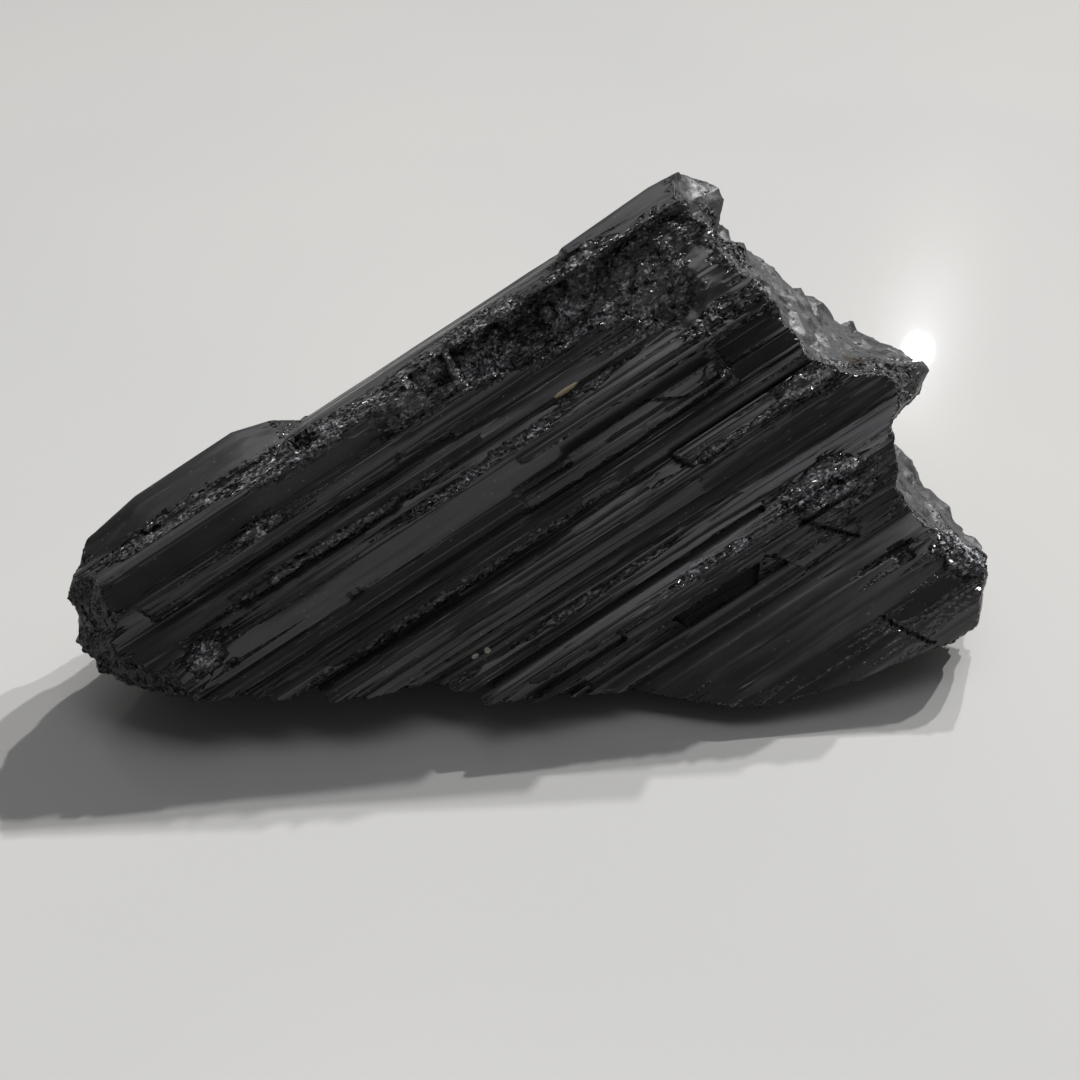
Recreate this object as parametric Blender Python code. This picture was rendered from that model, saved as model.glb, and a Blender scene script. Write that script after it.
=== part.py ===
"""A hand-sized piece of black tourmaline (schorl): one bundle of parallel, striated columns,
broken off rough at both ends and lying on a third break that cuts across the columns.

Run it with: blender --background --python part.py

The crystal is modelled in millimetres in its own frame. X runs along the columns, from the thin
lower end to the broad upper end. Y runs across the front, up to the top edge. Z points out of the
front. RESTING_POSE turns that frame to the way the piece lies on a table, and every point is
scaled to metres as its mesh is made.
"""

import math
import random

import bmesh
import bpy
from mathutils import Matrix, Vector, noise

# Driving dimensions, in millimetres and degrees.
MM = 0.001
LOWER_END = -74.0  # the furthest that the columns reach, along X
UPPER_END = 62.0
CLIMB = 33.0  # the angle at which the columns rise across the front
LEAN_BACK = 52.0  # how far the front is turned up from lying flat
TABLE_HEIGHT = -25.0  # the table under the piece, measured up from the crystal's own origin
EYE = (1.25, -11.25, 175.0)  # the point in front that the front's lean is reckoned from
FRONT_LEAN = (-5.5, -5.9, 4.1)  # depth gained towards the right, upwards and all over
LEAN_SPAN = 50.0  # the distance over which the first two are gained
COLOUR = (0.012, 0.012, 0.013, 1.0)
ROUGHNESS = 0.28

RESTING_POSE = Matrix.Rotation(math.radians(LEAN_BACK), 4, "X") @ Matrix.Rotation(
    math.radians(CLIMB), 4, "Z"
)

# The lines where the front's long facets meet, from the top edge down: Y at the lower end,
# Y at the upper end, and Z. The facets below a ridge turn down towards the table, which they
# mirror, and those above it turn up.
FRONT_LINES = (
    (18.8, 18.8, -4.6),
    (14.8, 14.8, 0.2),
    (10.9, 10.9, -0.7),
    (10.6, 10.6, 0.2),
    (7.4, 7.4, -1.3),
    (7.1, 7.1, -1.8),
    (3.9, 3.9, -0.5),
    (3.4, 3.4, -1.0),
    (0.9, 0.9, 0.3),
    (0.6, 0.7, 1.1),
    (-3.6, -3.0, -1.3),
    (-3.9, -3.3, -1.8),
    (-4.1, -3.1, -0.9),
    (-5.9, -5.6, -1.6),
    (-6.3, -5.9, -2.3),
    (-7.6, -7.1, -1.0),
    (-8.0, -7.5, -1.5),
    (-8.9, -8.4, -0.7),
    (-10.0, -9.6, -1.2),
    (-10.4, -9.9, -2.3),
    (-13.1, -12.9, 0.0),
    (-16.7, -18.7, -2.1),
    (-17.1, -19.1, -2.6),
    (-20.1, -20.8, -1.0),
    (-20.4, -21.2, -1.5),
    (-23.9, -23.7, 0.9),
    (-31.6, -32.1, -2.3),
    (-31.9, -32.5, -2.7),
    (-41.0, -41.0, 0.8),
    (-46.0, -46.2, 0.9),
    (-48.8, -49.0, -0.8),
)
FRONT_FROM = -56.0  # the X of the lines' two ends
FRONT_TO = 42.0

# The corners of the two hidden faces, (Y, Z), from the front's lower edge round to its top edge.
BACK_CORNERS = (
    (-50.4, -8.0),
    (-47.5, -18.0),
    (-38.0, -30.0),
    (-21.0, -36.0),
    (-4.0, -36.0),
    (8.5, -29.5),
    (17.0, -20.0),
    (20.3, -10.5),
    (18.8, -4.6),
)
RIB_WIDTH = 3.4  # of the striations on the hidden faces
RIB_DEPTH = 1.2

# Where the front breaks off at each end: (Y, X) down the front's edge.
UPPER_BREAK = (
    (24.0, 32.5),
    (19.0, 34.0),
    (15.0, 32.8),
    (10.0, 33.0),
    (5.0, 34.4),
    (0.0, 35.4),
    (-6.0, 35.8),
    (-10.0, 36.5),
    (-12.5, 38.4),
    (-15.5, 41.6),
    (-18.5, 43.4),
    (-20.6, 42.6),
    (-23.2, 37.2),
    (-28.0, 36.8),
    (-32.0, 36.0),
    (-38.0, 37.2),
    (-43.0, 39.0),
    (-47.5, 36.6),
    (-53.0, 31.0),
)
# How much further the upper break reaches for each millimetre back, at each Y.
UPPER_LEAN = (
    (20.0, 0.32),
    (10.0, 0.30),
    (0.0, 0.36),
    (-10.0, 0.42),
    (-18.0, 0.38),
    (-23.0, 0.24),
    (-30.0, 0.32),
    (-44.0, 0.36),
)
LOWER_BREAK = (
    (25.0, -45.0),
    (20.0, -49.6),
    (17.5, -52.6),
    (12.5, -55.0),
    (7.5, -54.8),
    (2.5, -53.8),
    (-2.5, -52.0),
    (-8.0, -49.0),
    (-14.0, -46.0),
    (-30.0, -40.0),
)
# How far the lower break swells out past the front's edge, at each Z.
LOWER_SWELL = (
    (-40.0, -13.0),
    (-26.0, -4.0),
    (-14.0, 4.6),
    (-7.5, 7.6),
    (-4.5, 6.4),
    (-1.5, 2.0),
    (1.0, 0.0),
)

# Raised and broken columns on the front. Each is (lower end X, upper end X, upper edge Y,
# lower edge Y, upper edge Z, lower edge Z, how far the lower edge falls short at each end).
SLABS = {
    "bright_slab": (3.6, 25.6, -3.0, -6.0, 0.4, -1.4, 0.0),
    "stair_slab": (-4.0, 13.8, -4.6, -6.2, -0.4, -1.2, 0.0),
    "dark_slab": (14.6, 52.0, -10.2, -12.9, -0.6, 0.5, 1.6),
    "edge_slab": (-14.0, 29.5, 9.7, 7.9, 0.3, -0.6, 0.4),
    "band_slab": (-3.0, 23.4, -24.2, -27.3, 1.4, 0.1, 0.6),
    "ledge_slab": (17.2, 30.6, -26.6, -31.2, 0.7, -1.3, 4.0),
    "low_slab": (-12.0, 30.0, -29.6, -31.6, -0.9, -1.8, 1.0),
    "thin_slab": (-36.0, 2.0, -8.4, -9.4, -0.3, -0.6, 0.5),
    "step_slab": (-52.0, -14.0, 10.3, 7.5, 0.6, -0.7, 1.0),
    "long_slab": (-40.0, 16.0, -14.6, -16.3, -0.2, -1.2, 0.8),
}
SLAB_ROOT = -6.0  # the slabs start this deep inside the crystal
NOTCHES = {
    "long_notch": (3.2, 16.6, -27.3, -29.7, -2.4, -2.6, 1.6),
    "shelf_notch": (26.4, 54.0, -1.2, -7.2, -3.0, -3.4, 0.6),
    "crest_notch": (-8.0, -2.6, 16.4, 12.6, -2.2, -1.8, 0.8),
    "groove": (-24.0, 21.0, -21.6, -22.6, -2.0, -2.0, 0.5),
}
NOTCH_TOP = 9.0  # the notches are cut from this far in front
SPLINTERS = 20  # thin strips of broken column scattered over the front

# The two blocks that stand along the top edge: sections of (X, top Y, front Z).
TOP_BLOCKS = {
    "lower_block": (
        (-59.0, 19.6, -7.0),
        (-55.8, 22.1, -6.2),
        (-46.0, 23.5, -5.4),
        (-31.0, 23.6, -5.2),
        (-26.0, 22.2, -5.4),
        (-21.8, 19.6, -6.4),
    ),
    "upper_block": (
        (17.0, 19.6, -5.0),
        (17.4, 20.0, -3.4),
        (31.0, 20.4, -3.2),
        (45.0, 19.6, -4.6),
    ),
}
BLOCK_FOOT = 5.3  # how far a block's front facet reaches down
BLOCK_RISE = 1.9  # how far it comes forward on the way
BLOCK_ROOT = 9.0

# Columns that stand out of the hidden faces: (Y, Z, radius, lower end X, upper end X).
BACK_COLUMNS = (
    (14.5, -19.5, 6.0, -38.0, 34.0),
    (2.0, -30.0, 5.6, -70.0, 10.0),
    (-13.0, -32.5, 7.0, -28.0, 60.0),
    (-31.0, -29.5, 5.4, -10.0, 60.0),
    (-43.0, -20.0, 6.0, 6.0, 60.0),
    (17.2, -14.0, 4.2, -72.0, -24.0),
)
# Knobs and hollows on the broken upper end: (Y, Z, radius, height).
END_KNOBS = (
    (15.2, -9.5, 3.4, 4.9),
    (11.2, -7.5, 1.3, -1.6),
    (7.8, -8.5, 2.2, 2.6),
    (-18.6, -9.0, 3.0, 3.8),
    (-26.0, -9.0, 3.0, -1.5),
    (-35.0, -16.0, 4.0, 1.8),
)

# How the break underneath lifts off the table, in the resting pose: towards both ends (X, height),
# and how much of the hollows' depth there is from the front backwards (Y, share).
UNDERSIDE_LIFT = ((-64.0, 2.2), (-46.0, 0.0), (30.0, 0.0), (66.0, 6.0))
UNDERSIDE_DEPTH = ((-22.0, 0.0), (-14.0, 0.5), (-6.0, 1.0))
UNDERSIDE_RELIEF = 1.9
# The front's lower edge hangs over the table: at each X, by how much, and its share backwards.
OVERHANG = (
    (-60.0, 7.9),
    (-40.0, 6.8),
    (-20.0, 6.1),
    (0.0, 4.8),
    (20.0, 2.8),
    (40.0, 2.4),
)
OVERHANG_SHARE = ((-22.0, 1.0), (-8.0, 0.0))

# The scoop under the top edge, where the outer columns broke away in grains: (X, lower Y).
SCOOP_EDGE = ((-2.0, 12.0), (4.0, 9.0), (19.0, 8.2), (27.0, -0.6), (44.0, -1.6))
SCOOP_TOP = 16.2
SCOOP_FLOOR = ((-2.0, -0.6), (8.0, -1.8), (44.0, -2.0))  # its depth at each X, where Y is 0
SCOOP_SLOPE = 0.15
RUBBLE_CELL = 2.6  # the size of the lumps that a rough break leaves
RANDOM_SEED = 7


def blend(points, at):
    """The value at a place along a list of (place, value), straight between the points."""
    points = sorted(points)
    if at <= points[0][0]:
        return points[0][1]
    for (low, first), (high, second) in zip(points, points[1:]):
        if at <= high:
            return first + (second - first) * (at - low) / (high - low)
    return points[-1][1]


def stepped(y, z, cell, seed):
    """A height from -1 to 1 that is constant over each column-like cell of the section."""
    nearest = noise.voronoi(Vector((y / cell, z / cell, seed)))[1][0]
    return noise.cell(nearest * 5.3 + Vector((seed, 0.0, 0.0)))


def lumps(point, cell, seed):
    """A height from about -1 to 1 for a rough, granular break."""
    place = point / cell + Vector((seed, seed, seed))
    return 0.65 * noise.noise(place) + 0.5 * noise.noise(place * 2.1)


def leaned(point):
    """The place of a point once the front leans: its lower end and its foot come forward. Flat
    faces stay flat, and the outline stays the same as seen from EYE."""
    turn = Matrix.Rotation(math.radians(CLIMB), 3, "Z")
    upright = turn @ point
    away = EYE[2] - upright.z
    right = (upright.x - EYE[0]) / away
    above = (upright.y - EYE[1]) / away
    gain = FRONT_LEAN[0] * right + FRONT_LEAN[1] * above
    closeness = 1.0 / away + gain / (EYE[2] * LEAN_SPAN) + FRONT_LEAN[2] / EYE[2] ** 2
    away = 1.0 / closeness
    return turn.inverted() @ Vector((EYE[0] + right * away, EYE[1] + above * away, EYE[2] - away))


def object_from(name, bm, pose):
    """An object whose points are leaned and turned by pose, and scaled from millimetres to
    metres. What is made in the resting pose already is only scaled."""
    if pose == RESTING_POSE:
        for vert in bm.verts:
            vert.co = leaned(vert.co)
    bmesh.ops.recalc_face_normals(bm, faces=bm.faces)
    bm.transform(Matrix.Scale(MM, 4) @ pose)
    mesh = bpy.data.meshes.new(name)
    bm.to_mesh(mesh)
    bm.free()
    made = bpy.data.objects.new(name, mesh)
    bpy.context.scene.collection.objects.link(made)
    return made


def loft(name, sections, pose=RESTING_POSE):
    """A closed solid through sections that each have the same number of points."""
    bm = bmesh.new()
    rings = [[bm.verts.new(point) for point in section] for section in sections]
    for ring, following in zip(rings, rings[1:]):
        count = len(ring)
        for i in range(count):
            j = (i + 1) % count
            bm.faces.new((ring[i], ring[j], following[j], following[i]))
    bm.faces.new(rings[0])
    bm.faces.new(rings[-1])
    return object_from(name, bm, pose)


def relief_block(name, spans, steps, relief, floor, pose=RESTING_POSE):
    """A closed block with one rough face, over a grid of the two spans, backed by a flat one.

    relief(u, v) gives a point of the rough face, and floor(point) its place on the flat one.
    """
    grids = []
    for (low, high), step in zip(spans, steps):
        count = max(1, round((high - low) / step))
        grids.append([low + (high - low) * i / count for i in range(count + 1)])
    bm = bmesh.new()
    rows = [[bm.verts.new(relief(u, v)) for v in grids[1]] for u in grids[0]]
    for row, following in zip(rows, rows[1:]):
        for j in range(len(row) - 1):
            bm.faces.new((row[j], row[j + 1], following[j + 1], following[j]))
    rim = rows[0][:-1] + [row[-1] for row in rows[:-1]]
    rim += rows[-1][:0:-1] + [row[0] for row in rows[:0:-1]]
    foot = [bm.verts.new(floor(vert.co)) for vert in rim]
    for i, vert in enumerate(rim):
        j = (i + 1) % len(rim)
        bm.faces.new((vert, rim[j], foot[j], foot[i]))
    bm.faces.new(foot)
    return object_from(name, bm, pose)


def ribbed(corners, rng):
    """Points of a striated face: shallow ribs of uneven width along each side of the corners."""
    points = []
    for (y0, z0), (y1, z1) in zip(corners, corners[1:]):
        length = math.hypot(y1 - y0, z1 - z0)
        normal = ((z1 - z0) / length, -(y1 - y0) / length)
        at = 0.0
        while at < length:
            share = at / length
            depth = rng.uniform(0.0, RIB_DEPTH) * (1 if len(points) % 2 else -1) * 0.5
            points.append(
                (
                    y0 + (y1 - y0) * share - normal[0] * depth,
                    z0 + (z1 - z0) * share - normal[1] * depth,
                )
            )
            at += RIB_WIDTH * rng.uniform(0.5, 1.2)
    return points


def front_lines(x):
    """The (Y, Z) corners of the front at a place along the columns."""
    share = (x - FRONT_FROM) / (FRONT_TO - FRONT_FROM)
    return [(low + (high - low) * share, z) for low, high, z in FRONT_LINES]


def bundle(rng):
    """The whole bundle of columns, as if it ended square at both ends."""
    back = ribbed(BACK_CORNERS, rng)
    sections = []
    for x in (LOWER_END, -30.0, 4.0, UPPER_END):
        corners = front_lines(x)[:-1] + [FRONT_LINES[-1][1:]] + back
        drift = [rng.uniform(-0.3, 0.3) for _ in corners]
        sections.append([(x, y, z + change) for (y, z), change in zip(corners, drift)])
    return loft("tourmaline_crystal", sections)


def slab(name, size, root):
    """A flat-topped strip along the columns, from its root to its facet."""
    x0, x1, y_up, y_low, z_up, z_low, slant = size
    sections = []
    for x, way in ((x0, 1), (x1, -1)):
        low_x = x + slant * way
        sections.append(
            [(x, y_up, z_up), (low_x, y_low, z_low), (low_x, y_low, root), (x, y_up, root)]
        )
    return loft(name, sections)


def splinters(rng):
    """Thin strips along the columns, a little proud of the front."""
    made = []
    for i in range(SPLINTERS):
        x = rng.uniform(-48.0, 22.0)
        y = rng.uniform(-31.0, 12.0)
        length = rng.uniform(10.0, 42.0)
        width = rng.uniform(0.5, 1.2)
        height = blend(front_lines(x + length / 2), y) + rng.uniform(0.35, 0.75)
        tilt = rng.uniform(-0.45, 0.2)
        size = (x, x + length, y, y - width, height, height + tilt, rng.uniform(0.2, 1.5))
        made.append(slab("splinter_%02d" % i, size, SLAB_ROOT))
    return made


def back_column(index, size, rng):
    """A column with an uneven many-sided section and slanting broken ends."""
    y, z, radius, x0, x1 = size
    sides = rng.choice((7, 8, 9))
    outline = []
    for i in range(sides):
        angle = math.tau * (i + rng.uniform(-0.25, 0.25)) / sides
        reach = radius * rng.uniform(0.82, 1.08)
        outline.append((reach * math.cos(angle), reach * math.sin(angle)))
    slant = [rng.uniform(-0.6, 0.6) for _ in range(4)]
    ends = []
    for x, (tilt_y, tilt_z) in ((x0, slant[:2]), (x1, slant[2:])):
        ends.append([(x + dy * tilt_y + dz * tilt_z, y + dy, z + dz) for dy, dz in outline])
    return loft("back_column_%d" % index, ends)


def top_block(name, spine):
    """A column along the top edge: a front facet, a crest and a root inside the crystal."""
    sections = []
    for x, top, front in spine:
        sections.append(
            [
                (x, top, front - 3.2),
                (x, top - 0.3, front - 0.6),
                (x, top - BLOCK_FOOT, front + BLOCK_RISE),
                (x, top - BLOCK_ROOT, front - 3.0),
                (x, top - BLOCK_ROOT, front - 9.0),
                (x, top - 1.0, front - 8.0),
            ]
        )
    return loft(name, sections)


def upper_break(y, z):
    """X of the upper end's broken surface."""
    broad = blend(UPPER_BREAK, y) - blend(UPPER_LEAN, y) * z
    for knob_y, knob_z, radius, height in END_KNOBS:
        away = ((y - knob_y) ** 2 + (z - knob_z) ** 2) / radius**2
        broad += height * math.exp(-away)
    steps = 0.85 * stepped(y, z, 5.0, 1.5) + 0.5 * stepped(y, z, 2.6, 4.5)
    return broad + steps + 0.5 * lumps(Vector((0.0, y, z)), RUBBLE_CELL, 3.0)


def lower_break(y, z):
    """X of the lower end's broken surface."""
    broad = blend(LOWER_BREAK, y) - blend(LOWER_SWELL, z)
    steps = 1.4 * stepped(y, z, 4.2, 8.5) + 0.7 * stepped(y, z, 2.4, 2.5)
    return broad + steps + 0.7 * lumps(Vector((0.0, y, z)), RUBBLE_CELL, 9.0)


def underside(x, y):
    """Height of the break that the piece lies on, in its resting pose: flat ledges at table
    height, and hollows between them where single columns broke off higher. The hollows are
    shallow along the front."""
    place = RESTING_POSE.inverted() @ Vector((x, y, TABLE_HEIGHT))
    hollow = UNDERSIDE_RELIEF * stepped(place.y, place.z, 6.5, 6.5) - 0.2
    hollow += 0.5 * lumps(Vector((x, y, 0.0)), 5.0, 5.0)
    lift = blend(UNDERSIDE_LIFT, x) + blend(OVERHANG, x) * blend(OVERHANG_SHARE, y)
    return TABLE_HEIGHT + max(0.0, hollow * blend(UNDERSIDE_DEPTH, y) + lift)


def rough_scoop():
    """The patch under the top edge where the outer columns have broken away in grains."""

    def relief(x, share):
        low = blend(SCOOP_EDGE, x)
        y = low + (SCOOP_TOP - low) * share
        z = blend(SCOOP_FLOOR, x) - SCOOP_SLOPE * y
        return Vector((x, y, z + 0.9 * lumps(Vector((x, y, z)), 2.2, 12.0)))

    return relief_block(
        "rough_scoop",
        ((-2.0, 44.0), (0.0, 1.0)),
        (1.4, 0.12),
        relief,
        lambda point: (point.x, point.y + (SCOOP_TOP - point.y) * 0.1, NOTCH_TOP),
    )


def breaks():
    """Everything that is cut away: both ends, the underside, the scoop and the notches."""
    far = 40.0
    cutters = [
        relief_block(
            "upper_end_break",
            ((-56.0, 27.0), (-46.0, 7.0)),
            (1.6, 1.6),
            lambda y, z: Vector((upper_break(y, z), y, z)),
            lambda point: (UPPER_END + far, point.y, point.z),
        ),
        relief_block(
            "lower_end_break",
            ((-36.0, 27.0), (-46.0, 7.0)),
            (1.7, 1.7),
            lambda y, z: Vector((lower_break(y, z), y, z)),
            lambda point: (LOWER_END - far, point.y, point.z),
        ),
        relief_block(
            "underside_break",
            ((-75.0, 75.0), (-60.0, 70.0)),
            (2.4, 2.4),
            lambda x, y: Vector((x, y, underside(x, y))),
            lambda point: (point.x, point.y, TABLE_HEIGHT - far),
            Matrix.Identity(4),
        ),
        rough_scoop(),
    ]
    cutters += [slab(name, size, NOTCH_TOP) for name, size in NOTCHES.items()]
    return cutters


def collection_of(name, objects):
    """A hidden collection of helpers for a Boolean."""
    made = bpy.data.collections.new(name)
    bpy.context.scene.collection.children.link(made)
    for helper in objects:
        bpy.context.scene.collection.objects.unlink(helper)
        made.objects.link(helper)
        helper.hide_render = True
        helper.display_type = "WIRE"
    return made


def combine(body, operation, helpers):
    """Joins or cuts the body with every object of a collection."""
    modifier = body.modifiers.new(helpers.name, "BOOLEAN")
    modifier.operation = operation
    modifier.operand_type = "COLLECTION"
    modifier.collection = helpers
    modifier.solver = "EXACT"


def keep_largest_piece(bm):
    """Deletes chips that the cuts have left loose, or joined to the rest by no more than an edge
    that more than two faces share."""
    unseen = set(bm.faces)
    pieces = []
    while unseen:
        piece, front = set(), [unseen.pop()]
        while front:
            face = front.pop()
            piece.add(face)
            for edge in face.edges:
                for other in edge.link_faces:
                    if len(edge.link_faces) == 2 and other in unseen:
                        unseen.discard(other)
                        front.append(other)
        pieces.append(piece)
    largest = max(pieces, key=len)
    chips = [face for face in bm.faces if face not in largest]
    bmesh.ops.delete(bm, geom=chips, context="FACES")


def stood_on_origin(body):
    """Replaces the body's mesh with its evaluated one, moved so that the middle of its
    bottom is the origin."""
    graph = bpy.context.evaluated_depsgraph_get()
    bm = bmesh.new()
    bm.from_mesh(bpy.data.meshes.new_from_object(body.evaluated_get(graph)))
    bmesh.ops.triangulate(bm, faces=bm.faces)
    keep_largest_piece(bm)
    low = Vector([min(vert.co[i] for vert in bm.verts) for i in range(3)])
    high = Vector([max(vert.co[i] for vert in bm.verts) for i in range(3)])
    shift = Vector((-(low.x + high.x) / 2, -(low.y + high.y) / 2, -low.z))
    bm.transform(Matrix.Translation(shift))
    body.modifiers.clear()
    bm.to_mesh(body.data)
    bm.free()
    print("the crystal's own origin, in metres:", [round(x, 6) for x in shift])


def tourmaline_material():
    material = bpy.data.materials.new("black_tourmaline")
    material.use_nodes = True
    shader = material.node_tree.nodes["Principled BSDF"]
    shader.inputs["Base Color"].default_value = COLOUR
    shader.inputs["Roughness"].default_value = ROUGHNESS
    shader.inputs["Metallic"].default_value = 0.0
    return material


def main():
    for old in list(bpy.data.objects):
        bpy.data.objects.remove(old)
    rng = random.Random(RANDOM_SEED)
    body = bundle(rng)
    columns = [slab(name, size, SLAB_ROOT) for name, size in SLABS.items()]
    columns += splinters(rng)
    columns += [top_block(name, spine) for name, spine in TOP_BLOCKS.items()]
    columns += [back_column(i, size, rng) for i, size in enumerate(BACK_COLUMNS)]
    combine(body, "UNION", collection_of("columns", columns))
    combine(body, "DIFFERENCE", collection_of("breaks", breaks()))
    body.data.materials.append(tourmaline_material())
    stood_on_origin(body)


main()
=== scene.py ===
# %% [markdown]
# # A piece of black tourmaline on a pale table
# Black tourmaline grows as a bundle of parallel columns. Their faces are striated along the
# columns and glossy, and where the bundle breaks across them it is grainy and sparkles.
# The solid model already has the long facets, the ledges and the broken ends. This script dresses
# it: it gives the same body the fine relief of the mineral, a finish, and a table with light.

# %% Load the solid model
import itertools
import math

import bmesh
import bpy
import numpy as np
from mathutils import Matrix, Vector


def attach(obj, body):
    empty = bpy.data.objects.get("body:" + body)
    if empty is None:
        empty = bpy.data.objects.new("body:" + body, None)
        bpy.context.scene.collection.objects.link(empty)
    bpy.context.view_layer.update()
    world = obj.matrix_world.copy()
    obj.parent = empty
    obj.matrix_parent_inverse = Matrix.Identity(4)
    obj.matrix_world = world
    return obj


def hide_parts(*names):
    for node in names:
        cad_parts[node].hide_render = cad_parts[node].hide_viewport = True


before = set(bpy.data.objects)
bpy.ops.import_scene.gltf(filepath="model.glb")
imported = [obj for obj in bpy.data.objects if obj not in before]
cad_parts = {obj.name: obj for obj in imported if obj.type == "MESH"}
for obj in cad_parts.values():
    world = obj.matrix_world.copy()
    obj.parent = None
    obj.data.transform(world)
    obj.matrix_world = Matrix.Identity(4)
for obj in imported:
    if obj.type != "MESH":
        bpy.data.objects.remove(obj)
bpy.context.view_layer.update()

crystal_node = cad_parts["tourmaline_crystal"]

# %% [markdown]
# ## The camera
# The piece is seen from a little above, with the columns square to the line of sight. A camera
# could be aimed with a constraint, but three numbers say the same: how far it looks down, how far
# it is from the crystal's own origin, and its field of view.

# %% Place the camera
MM = 0.001
CRYSTAL_ORIGIN = Vector((-0.002679, -0.010863, 0.025))  # in metres, as the part's source prints it
LOOKS_DOWN = 38.0
CAMERA_PLACE = Vector((1.25, -11.25, 175.0))  # right, up and back along the line of sight, in mm
IMAGE_SIDE = 1080  # in pixels, like the focal length
FOCAL_PIXELS = 1400
NEAREST_SEEN = 0.01  # in metres

view_turn = Matrix.Rotation(math.radians(90.0 - LOOKS_DOWN), 4, "X")
camera = bpy.data.objects.new("camera", bpy.data.cameras.new("camera"))
bpy.context.scene.collection.objects.link(camera)
camera.matrix_world = (
    Matrix.Translation(CRYSTAL_ORIGIN) @ view_turn @ Matrix.Translation(CAMERA_PLACE * MM)
)
camera.data.angle = 2.0 * math.atan(IMAGE_SIDE / 2.0 / FOCAL_PIXELS)
camera.data.clip_start = NEAREST_SEEN
bpy.context.scene.camera = camera
bpy.context.scene.view_settings.view_transform = "Standard"
print("field of view: %.1f degrees" % math.degrees(camera.data.angle))

# %% [markdown]
# ## The crystal's own frame
# Everything about this stone runs along its columns, and those lie askew in the scene. It is far
# easier to say where things are in a frame of its own, in millimetres: X along the columns, Y up
# the front and Z out of it. One matrix takes that frame to the scene, and its inverse goes back.

# %% Work in the crystal's own frame
CLIMB = 33.0  # the angle at which the columns rise across the front
LEAN_BACK = 52.0  # how far the front is turned up from lying flat

resting = Matrix.Rotation(math.radians(LEAN_BACK), 4, "X") @ Matrix.Rotation(
    math.radians(CLIMB), 4, "Z"
)
to_scene = Matrix.Translation(CRYSTAL_ORIGIN) @ resting @ Matrix.Scale(MM, 4)
from_scene = to_scene.inverted()
up = np.array(resting.to_3x3().inverted() @ Vector((0.0, 0.0, 1.0)))


def above_table(points):
    """How far each point is above the table, in mm."""
    return points @ up + CRYSTAL_ORIGIN.z / MM


print("the scene's up, in the crystal's own frame:", up.round(2))

# %% [markdown]
# ## The lean of the front
# The front isn't quite square to the line of sight: its lower end and its foot come forward. A
# turn would move the outline too, so each point slides along its own line of sight instead. The
# change is made to one over the distance, because straight edges then stay straight. The solid
# got this lean last, so it is taken out before any work on the surface and put back after it.

# %% Slide points along the lines of sight
EYE = np.array(CAMERA_PLACE)
FRONT_LEAN = np.array((-5.5, -5.9, 4.1))  # depth gained towards the right, upwards and all over
LEAN_SPAN = 50.0  # the distance over which the first two are gained


def leaned(points, way=1.0):
    """The points with the lean, or with the lean taken out if way is -1."""
    turn = np.array(Matrix.Rotation(math.radians(CLIMB), 3, "Z"))
    upright = points @ turn.T
    away = EYE[2] - upright[:, 2]
    sight = (upright[:, :2] - EYE[:2]) / away[:, None]
    closer = sight @ FRONT_LEAN[:2] / (EYE[2] * LEAN_SPAN) + FRONT_LEAN[2] / EYE[2] ** 2
    away = 1.0 / (1.0 / away + way * closer)
    return np.column_stack((EYE[:2] + sight * away[:, None], EYE[2] - away)) @ turn


there_and_back = leaned(leaned(np.zeros((1, 3))), -1.0)
print("a point leaned and brought back is off by %.0e mm" % np.abs(there_and_back).max())

# %% [markdown]
# ## Points in and out of a mesh
# The fine mesh has far too many points to move one by one. Numpy works on all of them at once, and
# foreach_get and foreach_set pass them to it and back as one long row of numbers.


# %% Read and write points
def coordinates(mesh):
    """The points of a mesh, as an array with a row for each."""
    flat = np.empty(len(mesh.vertices) * 3, np.float32)
    mesh.vertices.foreach_get("co", flat)
    return flat.reshape(-1, 3).astype(np.float64)


def directions(mesh):
    """The normal at each point of a mesh."""
    flat = np.empty(len(mesh.vertices) * 3, np.float32)
    mesh.vertex_normals.foreach_get("vector", flat)
    return flat.reshape(-1, 3).astype(np.float64)


def put_back(mesh, points):
    """Moves the points of a mesh to new places."""
    mesh.vertices.foreach_set("co", points.astype(np.float32).ravel())
    mesh.update()


print("the solid has %d points" % len(coordinates(crystal_node.data)))

# %% [markdown]
# ## A fine mesh of the same body
# The solid has about six thousand triangles, too few to carry grains and striations. Cutting each
# into smaller ones would keep its long thin triangles. A voxel remesh gives even quads instead.
# The relief is long and narrow, so the body is squashed along the columns first and stretched
# again afterwards: the quads become long too, and the detail is spent across the columns.

# %% Remesh the body
SQUASH = 0.42  # the length along the columns while the mesh is made, as a share of the real one
VOXEL = 0.155  # in mm
SAME_PLACE = 0.0005  # points closer than this are one, in mm


def applied(thing, kind, **settings):
    """Adds a modifier to an object and makes its result the object's mesh."""
    modifier = thing.modifiers.new(kind.lower(), kind)
    for name, value in settings.items():
        setattr(modifier, name, value)
    graph = bpy.context.evaluated_depsgraph_get()
    made = bpy.data.meshes.new_from_object(thing.evaluated_get(graph))
    thing.modifiers.clear()
    thing.data = made
    return made


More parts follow.
